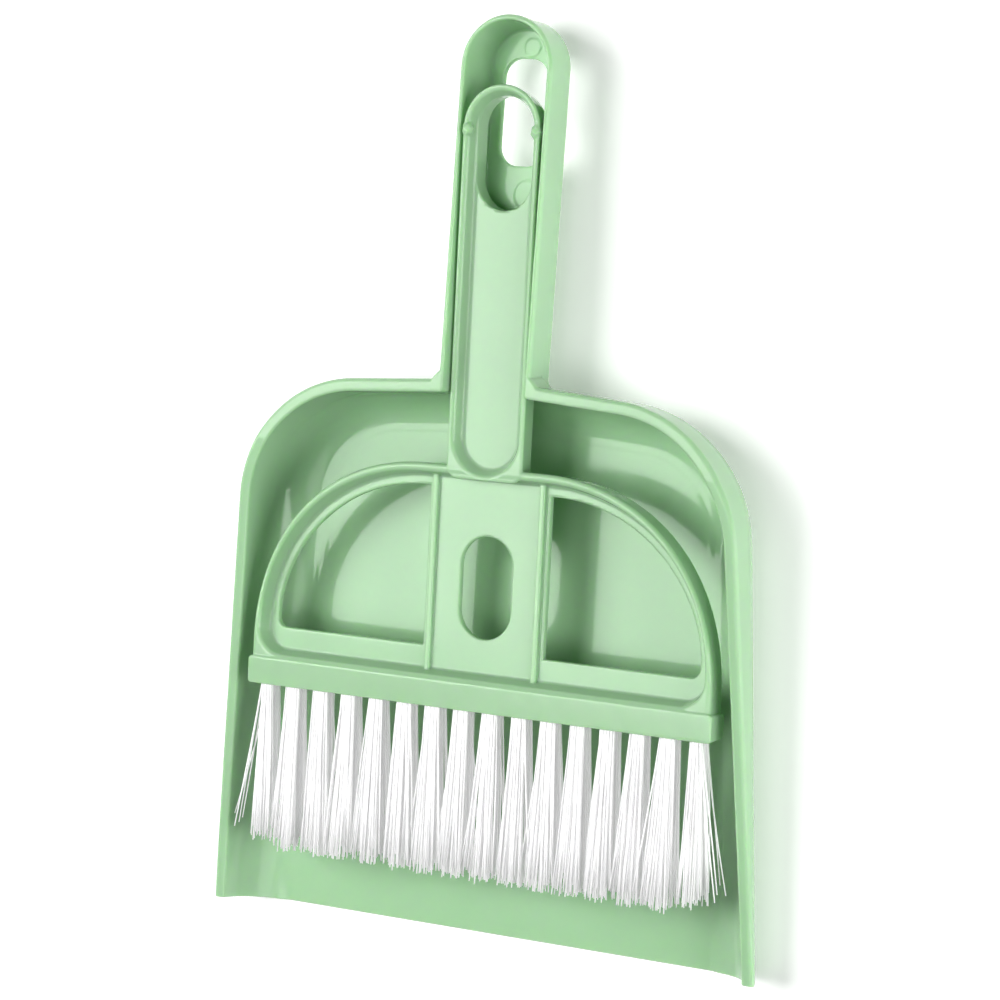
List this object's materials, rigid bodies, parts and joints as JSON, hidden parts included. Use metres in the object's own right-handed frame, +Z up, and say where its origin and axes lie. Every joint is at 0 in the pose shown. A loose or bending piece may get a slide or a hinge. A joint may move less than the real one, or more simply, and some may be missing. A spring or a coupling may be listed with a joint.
{
  "type": "dustpan and brush",
  "caption": "Small dustpan with a channel handle and a hanging slot, and a hand brush nested in it, with an arched frame, open windows and two rows of bristle tufts.",
  "frame": {"origin": "on the surface that the dustpan lies on, under the middle of the whole object's footprint", "axes": "+Z up out of the open side of the pan, +Y from the lip towards the handle's end, +X to the right as seen from above with the handle pointing away"},
  "size_m": [0.1492, 0.2188, 0.0209],
  "materials": {
    "mint_pp": "glossy injection-moulded polypropylene, pale mint green, with faint sink marks",
    "bristle": "white slightly translucent monofilament, satin"
  },
  "bodies": {
    "pan": {"dustpan": "mint_pp"},
    "brush": {"brush_body": "mint_pp", "bristle_tuft_front_01": "bristle", "bristle_tuft_front_02": "bristle", "bristle_tuft_front_03": "bristle", "bristle_tuft_front_04": "bristle", "bristle_tuft_front_05": "bristle", "bristle_tuft_front_06": "bristle", "bristle_tuft_front_07": "bristle", "bristle_tuft_front_08": "bristle", "bristle_tuft_front_09": "bristle", "bristle_tuft_front_10": "bristle", "bristle_tuft_front_11": "bristle", "bristle_tuft_front_12": "bristle", "bristle_tuft_front_13": "bristle", "bristle_tuft_front_14": "bristle", "bristle_tuft_front_15": "bristle", "bristle_tuft_front_16": "bristle", "bristle_tuft_rear_01": "bristle", "bristle_tuft_rear_02": "bristle", "bristle_tuft_rear_03": "bristle", "bristle_tuft_rear_04": "bristle", "bristle_tuft_rear_05": "bristle", "bristle_tuft_rear_06": "bristle", "bristle_tuft_rear_07": "bristle", "bristle_tuft_rear_08": "bristle", "bristle_tuft_rear_09": "bristle", "bristle_tuft_rear_10": "bristle", "bristle_tuft_rear_11": "bristle", "bristle_tuft_rear_12": "bristle", "bristle_tuft_rear_13": "bristle", "bristle_tuft_rear_14": "bristle", "bristle_tuft_rear_15": "bristle", "bristle_tuft_rear_16": "bristle"}
  },
  "joints": [
    {"name": "brush_lift", "type": "slide", "parent": "pan", "child": "brush", "axis": [0, 0, 1], "range_m": [0, 0.08]}
  ]
}
